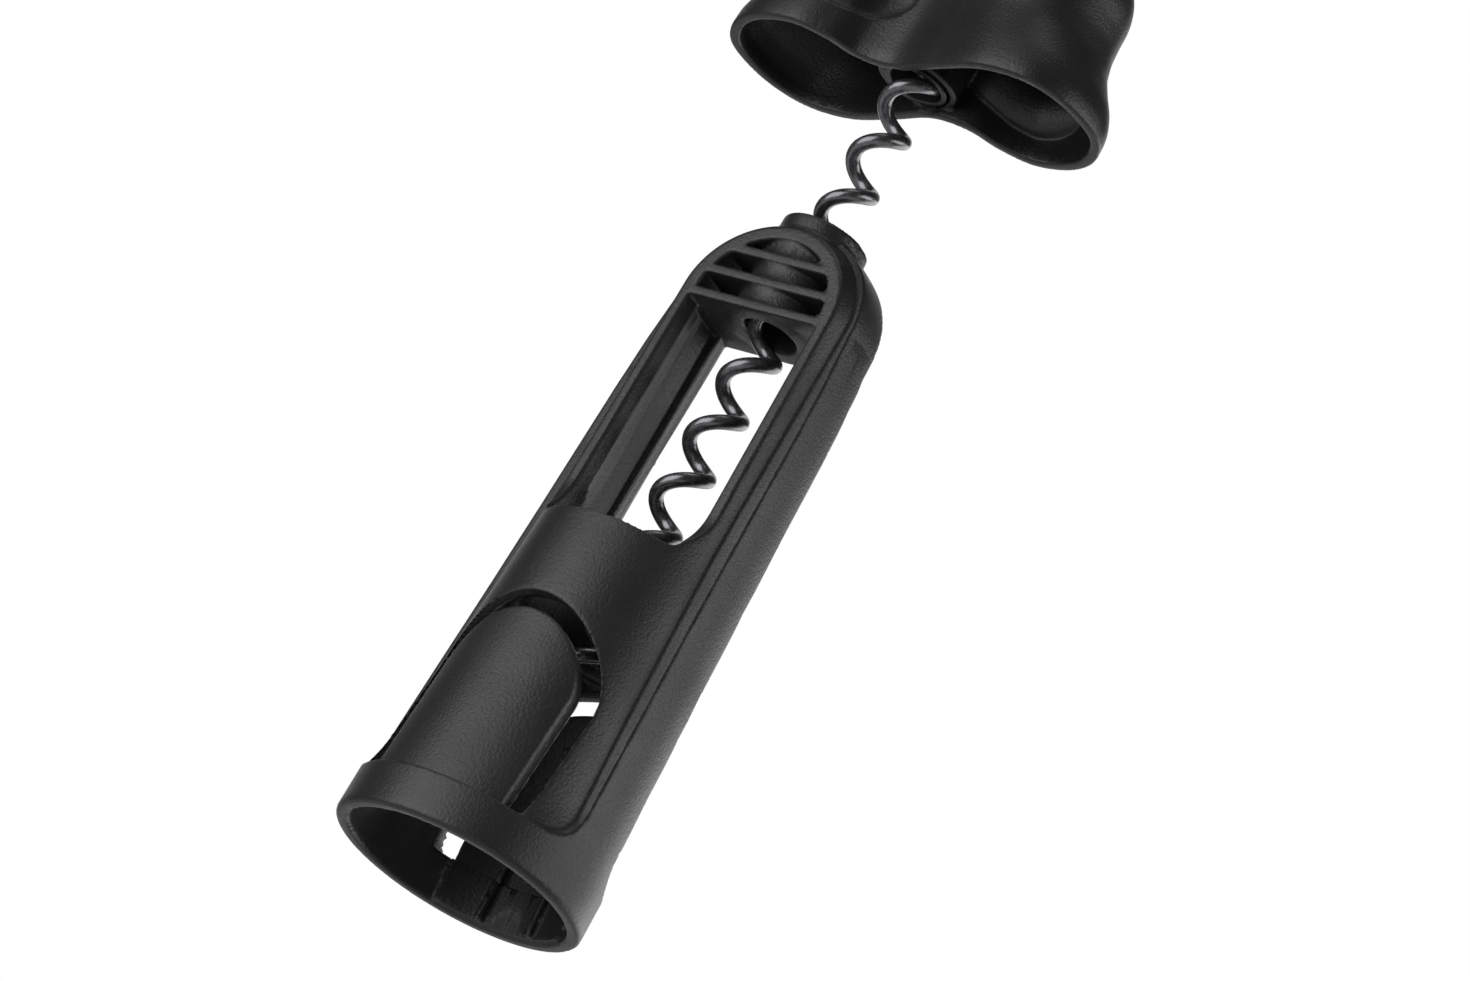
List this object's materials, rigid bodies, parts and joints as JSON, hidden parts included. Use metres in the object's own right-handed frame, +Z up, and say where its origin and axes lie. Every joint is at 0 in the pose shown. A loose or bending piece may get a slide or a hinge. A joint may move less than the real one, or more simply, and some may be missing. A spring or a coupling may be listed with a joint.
{
  "type": "self-pulling table corkscrew",
  "caption": "Table corkscrew: bell-footed frame with grip tongues and a ribbed head, and a coiled worm under a two-lobed turning handle.",
  "frame": {"origin": "centre of the bell's lower rim, in the plane that the corkscrew stands on", "axes": "+Z up along the worm's axis, -Y towards the front window and front grip tongue, +X to the right"},
  "size_m": [0.0696, 0.042, 0.179],
  "materials": {
    "satin_black_plastic": "fine moulded satin texture",
    "handle_plastic": "fine moulded satin texture",
    "slip_plastic": "smooth bearing plastic",
    "coated_wire": "glossy non-stick coating on steel wire",
    "anchor_metal": "die-cast, bare"
  },
  "bodies": {
    "frame": {"frame": "satin_black_plastic"},
    "front_tongue": {"front_grip_tongue": "satin_black_plastic"},
    "back_tongue": {"back_grip_tongue": "satin_black_plastic"},
    "lift_ring": {"slip_ring": "slip_plastic"},
    "handle": {"handle_shell": "handle_plastic", "worm": "coated_wire", "worm_anchor": "anchor_metal"}
  },
  "joints": [
    {"name": "front_tongue_flex", "type": "hinge", "parent": "frame", "child": "front_tongue", "pos_m": [0, -0.017, 0.0076], "axis": [-1, 0, 0], "range_deg": [0, 4], "stiffness_Nm_per_rad": 0.1},
    {"name": "back_tongue_flex", "type": "hinge", "parent": "frame", "child": "back_tongue", "pos_m": [0, 0.017, 0.0076], "axis": [1, 0, 0], "range_deg": [0, 4], "stiffness_Nm_per_rad": 0.1},
    {"name": "handle_lift", "type": "slide", "parent": "frame", "child": "lift_ring", "axis": [0, 0, 1], "range_m": [-0.0291, 0.0666]},
    {"name": "handle_turn", "type": "hinge", "parent": "lift_ring", "child": "handle", "pos_m": [0, 0, 0.15], "axis": [0, 0, 1], "continuous": true}
  ]
}
